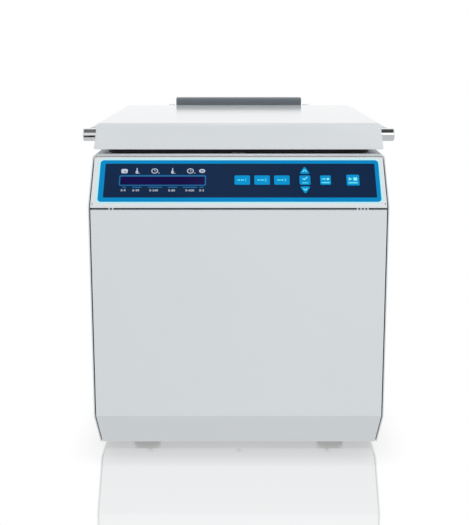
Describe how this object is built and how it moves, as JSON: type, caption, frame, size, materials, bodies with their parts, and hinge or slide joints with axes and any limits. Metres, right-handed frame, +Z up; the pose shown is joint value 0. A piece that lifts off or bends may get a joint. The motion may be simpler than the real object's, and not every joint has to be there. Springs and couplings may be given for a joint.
{
  "type": "centrifugal evaporator",
  "caption": "Bench centrifugal evaporator: bevelled cabinet with a sloped keypad, a hinged flat lid over a cooled round chamber, and a spinning tube rotor inside.",
  "frame": {"origin": "bottom centre of the bounding box, on the bench", "axes": "+Z up, the front with the keypad faces -Y, +X to the right seen from the front"},
  "size_m": [0.436, 0.59, 0.4806],
  "materials": {
    "white_paint": "light grey-white semi-gloss powder coat",
    "steel_sheet": "zinc-plated sheet",
    "stainless": "drawn stainless steel",
    "blue_film": "printed navy film with a blue border",
    "blue_key": "light blue printed key",
    "dark_pane": "dark violet display pane",
    "board": "green circuit board",
    "black_rubber": "black rubber",
    "black_plastic": "black moulding",
    "dark_grey_plastic": "dark grey moulding",
    "foam": "insulating foam",
    "copper": "copper tube",
    "chrome_bar": "polished chrome",
    "aluminium_plate": "machined, clear anodised",
    "black_iron": "black enamelled steel",
    "fastener": "plated fastener",
    "bush_bronze": "sintered bronze"
  },
  "bodies": {
    "cabinet": {"base_tray": "steel_sheet", "bowl_insulation": "foam", "chamber_bowl": "stainless", "chamber_gasket": "black_rubber", "chassis_screws": "fastener", "compressor": "black_iron", "compressor_mounts": "black_rubber", "condenser": "aluminium_plate", "control_bezel": "white_paint", "control_board": "board", "cooling_coil": "copper", "corner_posts": "steel_sheet", "display_window": "dark_pane", "drive_motor": "aluminium_plate", "fan_guard": "stainless", "fan_housing": "black_plastic", "front_panel": "white_paint", "hinge_blocks": "aluminium_plate", "hinge_bushes": "bush_bronze", "hinge_housing": "dark_grey_plastic", "hinge_springs": "stainless", "keypad_overlay": "blue_film", "left_side_panel": "white_paint", "lock_solenoid": "steel_sheet", "motor_bracket": "steel_sheet", "power_entry": "black_plastic", "power_supply": "steel_sheet", "rear_panel": "white_paint", "refrigerant_pipes": "copper", "right_side_panel": "white_paint", "rubber_feet": "black_rubber", "shaft_seal": "black_plastic", "top_deck": "white_paint", "vacuum_port": "aluminium_plate"},
    "lid": {"lid_shell": "white_paint", "lid_liner": "black_plastic", "lid_plate": "aluminium_plate", "lid_screws": "fastener", "lid_side_rails": "white_paint", "grip_bar": "chrome_bar", "hinge_arms": "aluminium_plate", "hinge_shaft": "stainless", "lock_striker": "stainless"},
    "rotor": {"drive_shaft": "stainless", "rotor_base": "aluminium_plate", "rotor_top_plate": "aluminium_plate", "rotor_pillars": "stainless", "rotor_nut": "black_plastic"},
    "fan": {"fan_rotor": "black_plastic"},
    "lock_bolt_body": {"lock_bolt": "stainless"},
    "rocker": {"switch_rocker": "black_plastic"},
    "key_down_cap": {"key_down": "blue_key"},
    "key_enter_cap": {"key_enter": "blue_key"},
    "key_program_1_cap": {"key_program_1": "blue_key"},
    "key_program_2_cap": {"key_program_2": "blue_key"},
    "key_program_3_cap": {"key_program_3": "blue_key"},
    "key_recall_cap": {"key_recall": "blue_key"},
    "key_start_stop_cap": {"key_start_stop": "blue_key"},
    "key_up_cap": {"key_up": "blue_key"}
  },
  "joints": [
    {"name": "lid_hinge", "type": "hinge", "parent": "cabinet", "child": "lid", "pos_m": [0, 0.241, 0.457], "axis": [-1, 0, 0], "range_deg": [0, 80], "stiffness_Nm_per_rad": 11, "springref_deg": 101.99},
    {"name": "rotor_spin", "type": "hinge", "parent": "cabinet", "child": "rotor", "pos_m": [0, 0, 0.314], "axis": [0, 0, 1], "continuous": true},
    {"name": "fan_spin", "type": "hinge", "parent": "cabinet", "child": "fan", "pos_m": [-0.096, 0.2518, 0.151], "axis": [0, 1, 0], "continuous": true},
    {"name": "bolt_slide", "type": "slide", "parent": "cabinet", "child": "lock_bolt_body", "axis": [0, 1, 0], "range_m": [0, 0.014], "stiffness_N_per_m": 300},
    {"name": "rocker_tilt", "type": "hinge", "parent": "cabinet", "child": "rocker", "pos_m": [0.14, 0.268, 0.078], "axis": [1, 0, 0], "range_deg": [0, 16]},
    {"name": "key_down_press", "type": "slide", "parent": "cabinet", "child": "key_down_cap", "axis": [0, 0.7071, -0.7071], "range_m": [0, 0.0004], "stiffness_N_per_m": 1500},
    {"name": "key_enter_press", "type": "slide", "parent": "cabinet", "child": "key_enter_cap", "axis": [0, 0.7071, -0.7071], "range_m": [0, 0.0004], "stiffness_N_per_m": 1500},
    {"name": "key_program_1_press", "type": "slide", "parent": "cabinet", "child": "key_program_1_cap", "axis": [0, 0.7071, -0.7071], "range_m": [0, 0.0004], "stiffness_N_per_m": 1500},
    {"name": "key_program_2_press", "type": "slide", "parent": "cabinet", "child": "key_program_2_cap", "axis": [0, 0.7071, -0.7071], "range_m": [0, 0.0004], "stiffness_N_per_m": 1500},
    {"name": "key_program_3_press", "type": "slide", "parent": "cabinet", "child": "key_program_3_cap", "axis": [0, 0.7071, -0.7071], "range_m": [0, 0.0004], "stiffness_N_per_m": 1500},
    {"name": "key_recall_press", "type": "slide", "parent": "cabinet", "child": "key_recall_cap", "axis": [0, 0.7071, -0.7071], "range_m": [0, 0.0004], "stiffness_N_per_m": 1500},
    {"name": "key_start_stop_press", "type": "slide", "parent": "cabinet", "child": "key_start_stop_cap", "axis": [0, 0.7071, -0.7071], "range_m": [0, 0.0004], "stiffness_N_per_m": 1500},
    {"name": "key_up_press", "type": "slide", "parent": "cabinet", "child": "key_up_cap", "axis": [0, 0.7071, -0.7071], "range_m": [0, 0.0004], "stiffness_N_per_m": 1500}
  ]
}
